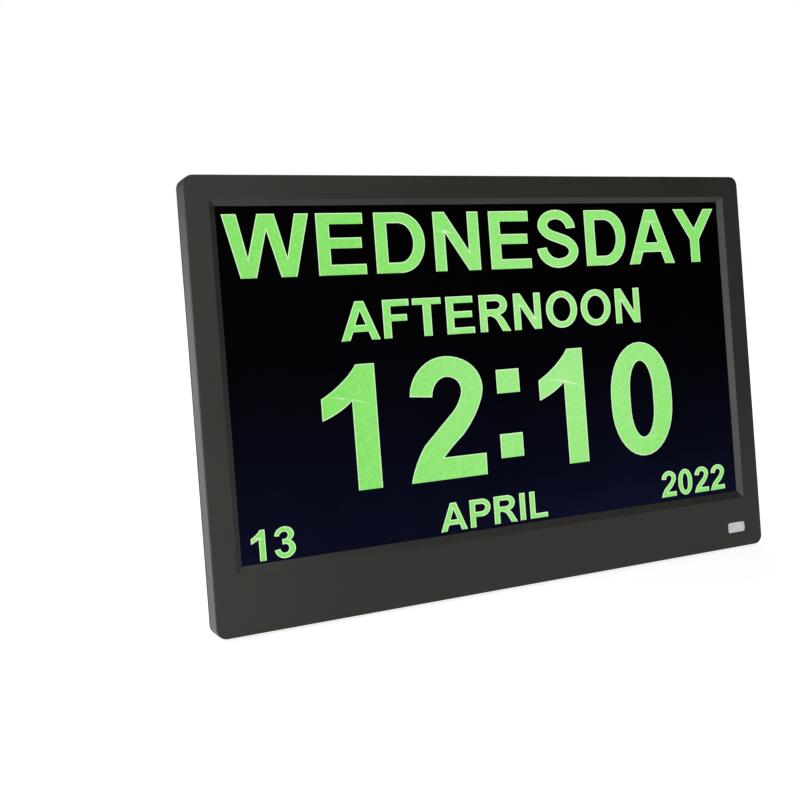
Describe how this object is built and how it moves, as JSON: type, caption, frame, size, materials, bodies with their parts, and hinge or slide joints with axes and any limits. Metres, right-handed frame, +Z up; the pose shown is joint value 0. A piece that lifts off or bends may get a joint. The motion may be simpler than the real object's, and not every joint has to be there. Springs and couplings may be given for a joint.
{
  "type": "day clock",
  "caption": "Leaning desk or wall clock with a wide landscape display for day, time and date, a folding rear leg, rear keys, side sockets and keyhole hangers.",
  "frame": {"origin": "centre of the bounding box at floor level, with the clock standing on its open leg", "axes": "+X along the width, to the right of someone who reads the display; +Z up; the display faces -Y and leans back by 10.06 degrees"},
  "size_m": [0.2818, 0.0598, 0.1827],
  "materials": {
    "case_plastic": "fine matt texture, charcoal",
    "dark_plastic": "satin black",
    "component_plastic": "black moulded parts",
    "circuit_board": "green solder resist",
    "steel": "plated",
    "chassis_metal": "pressed sheet",
    "display_glass": "dark display with a matt polariser",
    "diffuser": "milky light guide",
    "ir_window": "pale smoky lens",
    "foam": "closed-cell foam",
    "foot_rubber": "matt rubber",
    "ribbon": "flat flexible cable",
    "lead_jacket": "insulated wire"
  },
  "bodies": {
    "clock": {"front_bezel": "case_plastic", "ir_window": "ir_window", "screen_gasket": "foam", "lcd_panel": "display_glass", "backlight": "diffuser", "lcd_chassis": "chassis_metal", "bracket_left": "steel", "bracket_right": "steel", "bracket_screws": "steel", "driver_board": "circuit_board", "ribbon_cable": "ribbon", "ir_board": "circuit_board", "ir_receiver": "component_plastic", "main_board": "circuit_board", "board_chips": "component_plastic", "coin_holder": "component_plastic", "coin_cell": "steel", "dc_jack": "component_plastic", "headphone_jack": "component_plastic", "usb_port": "steel", "card_socket": "steel", "board_screws": "steel", "key_board": "circuit_board", "key_switches": "component_plastic", "speaker_left": "component_plastic", "speaker_right": "component_plastic", "grille_left": "dark_plastic", "grille_right": "dark_plastic", "speaker_lead_left": "lead_jacket", "speaker_lead_right": "lead_jacket", "ir_lead": "lead_jacket", "rear_cover": "case_plastic", "case_screws": "steel", "hinge_pin": "steel"},
    "leg": {"stand_leg": "case_plastic", "stand_foot": "foot_rubber"},
    "menu_key": {"key_menu": "dark_plastic"},
    "left_key": {"key_left": "dark_plastic"},
    "up_key": {"key_up": "dark_plastic"},
    "ok_key": {"key_ok": "dark_plastic"},
    "down_key": {"key_down": "dark_plastic"},
    "right_key": {"key_right": "dark_plastic"},
    "power_key": {"key_power": "dark_plastic"}
  },
  "joints": [
    {"name": "leg_hinge", "type": "hinge", "parent": "clock", "child": "leg", "pos_m": [0, 0.00745, 0.09452], "axis": [1, 0, 0], "range_deg": [-22, 0]},
    {"name": "menu_press", "type": "slide", "parent": "clock", "child": "menu_key", "axis": [0, -0.9846, 0.1747], "range_m": [0, 0.0005], "stiffness_N_per_m": 600},
    {"name": "left_press", "type": "slide", "parent": "clock", "child": "left_key", "axis": [0, -0.9846, 0.1747], "range_m": [0, 0.0005], "stiffness_N_per_m": 600},
    {"name": "up_press", "type": "slide", "parent": "clock", "child": "up_key", "axis": [0, -0.9846, 0.1747], "range_m": [0, 0.0005], "stiffness_N_per_m": 600},
    {"name": "ok_press", "type": "slide", "parent": "clock", "child": "ok_key", "axis": [0, -0.9846, 0.1747], "range_m": [0, 0.0005], "stiffness_N_per_m": 600},
    {"name": "down_press", "type": "slide", "parent": "clock", "child": "down_key", "axis": [0, -0.9846, 0.1747], "range_m": [0, 0.0005], "stiffness_N_per_m": 600},
    {"name": "right_press", "type": "slide", "parent": "clock", "child": "right_key", "axis": [0, -0.9846, 0.1747], "range_m": [0, 0.0005], "stiffness_N_per_m": 600},
    {"name": "power_press", "type": "slide", "parent": "clock", "child": "power_key", "axis": [0, -0.9846, 0.1747], "range_m": [0, 0.0005], "stiffness_N_per_m": 600}
  ]
}
